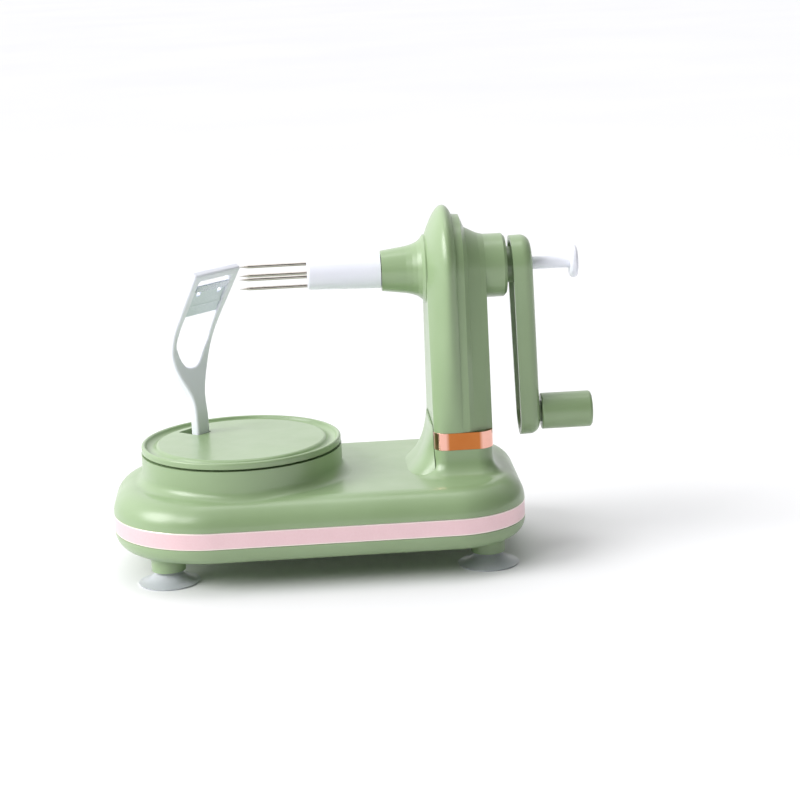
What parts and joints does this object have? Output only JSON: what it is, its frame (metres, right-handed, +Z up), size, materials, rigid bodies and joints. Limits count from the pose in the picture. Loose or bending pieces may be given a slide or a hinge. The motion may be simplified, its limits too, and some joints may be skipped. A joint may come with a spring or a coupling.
{
  "type": "apple peeler corer",
  "caption": "Hand-crank apple peeler and corer: pronged fork on a column, geared turntable with a sprung peeler arm, on a suction-cup base.",
  "frame": {"origin": "centre of the footprint's bounding box, in the plane of the suction cup rims", "axes": "+X along the fork axis towards the crank, +Y to the back, +Z up"},
  "size_m": [0.194, 0.097, 0.1396],
  "materials": {
    "green_abs": "satin moulded",
    "trim_pink": "satin metallic film",
    "rose_gold": "bright rose gold plating",
    "white_abs": "satin moulded",
    "silicone": "translucent soft",
    "steel": "drawn and polished",
    "blade_steel": "ground",
    "carrier_steel": "matt blasted",
    "gear_acetal": "moulded",
    "bush_acetal": "moulded",
    "zinc_steel": "zinc plated"
  },
  "bodies": {
    "base": {"base_tray": "green_abs", "base_cover": "green_abs", "trim_band": "trim_pink", "suction_cup_1": "silicone", "suction_cup_2": "silicone", "suction_cup_3": "silicone", "suction_cup_4": "silicone", "base_screws": "zinc_steel", "column_ring": "rose_gold", "column_left": "green_abs", "column_right": "green_abs", "column_screws": "zinc_steel", "shaft_bracket": "gear_acetal", "front_bush": "bush_acetal", "rear_bush": "bush_acetal", "column_bush": "bush_acetal", "turntable_bush": "bush_acetal", "idler_axle": "steel", "compound_axle": "steel"},
    "crank": {"main_shaft": "steel", "fork_tube": "white_abs", "tine_1": "steel", "tine_2": "steel", "tine_3": "steel", "tine_4": "steel", "drive_bevel": "gear_acetal", "crank_arm": "green_abs", "crank_set_screw": "zinc_steel", "knob_pin": "steel", "knob_clip": "zinc_steel"},
    "knob": {"knob_grip": "green_abs", "knob_cap": "green_abs"},
    "push_rod": {"push_rod": "white_abs", "push_button": "white_abs", "ejector_plate": "steel"},
    "column_drive": {"column_shaft": "steel", "shaft_bevel": "gear_acetal", "column_pinion": "gear_acetal", "shaft_clip": "zinc_steel"},
    "idler": {"idler_gear": "gear_acetal"},
    "compound": {"compound_gear": "gear_acetal"},
    "turntable": {"turntable_disc": "green_abs", "turntable_gear": "gear_acetal", "gear_screws": "zinc_steel", "spindle_washer": "zinc_steel", "spindle_screw": "zinc_steel", "arm_pin": "steel", "arm_spring": "zinc_steel"},
    "peeler_arm": {"peeler_arm": "white_abs"},
    "blade_head": {"blade_carrier": "carrier_steel", "peeler_blade": "blade_steel"}
  },
  "joints": [
    {"name": "crank_turn", "type": "hinge", "parent": "base", "child": "crank", "pos_m": [0.055, 0, 0.1147], "axis": [1, 0, 0], "range_deg": [-3096, 1128]},
    {"name": "knob_spin", "type": "hinge", "parent": "crank", "child": "knob", "pos_m": [0.087, 0, 0.054], "axis": [1, 0, 0], "continuous": true},
    {"name": "rod_push", "type": "slide", "parent": "crank", "child": "push_rod", "axis": [-1, 0, 0], "range_m": [0, 0.012]},
    {"name": "column_shaft_turn", "type": "hinge", "parent": "base", "child": "column_drive", "pos_m": [0.0431, 0, 0.06], "axis": [0, 0, 1], "range_deg": [-3097, 1129]},
    {"name": "idler_turn", "type": "hinge", "parent": "base", "child": "idler", "pos_m": [0.0241, 0, 0.018], "axis": [0, 0, 1], "range_deg": [-403.86, 1106.71]},
    {"name": "compound_turn", "type": "hinge", "parent": "base", "child": "compound", "pos_m": [-0.0099, 0, 0.018], "axis": [0, 0, 1], "range_deg": [-775, 283]},
    {"name": "turntable_turn", "type": "hinge", "parent": "base", "child": "turntable", "pos_m": [-0.0449, 0, 0.03], "axis": [0, 0, 1], "range_deg": [-47.2, 129.2]},
    {"name": "arm_swing", "type": "hinge", "parent": "turntable", "child": "peeler_arm", "pos_m": [-0.06166, 0.01456, 0.0395], "axis": [-0.6561, -0.7547, 0], "range_deg": [0, 30], "stiffness_Nm_per_rad": 0.1, "springref_deg": -34.38},
    {"name": "blade_swivel", "type": "hinge", "parent": "peeler_arm", "child": "blade_head", "pos_m": [-0.05706, 0.01057, 0.10389], "axis": [-0.6561, -0.7547, 0], "range_deg": [-12, 12]}
  ],
  "couplings": [
    {"joint": "column_shaft_turn", "follows": "crank_turn", "ratio": 1},
    {"joint": "idler_turn", "follows": "crank_turn", "ratio": -0.35714},
    {"joint": "compound_turn", "follows": "crank_turn", "ratio": 0.25},
    {"joint": "turntable_turn", "follows": "crank_turn", "ratio": -0.041667}
  ]
}
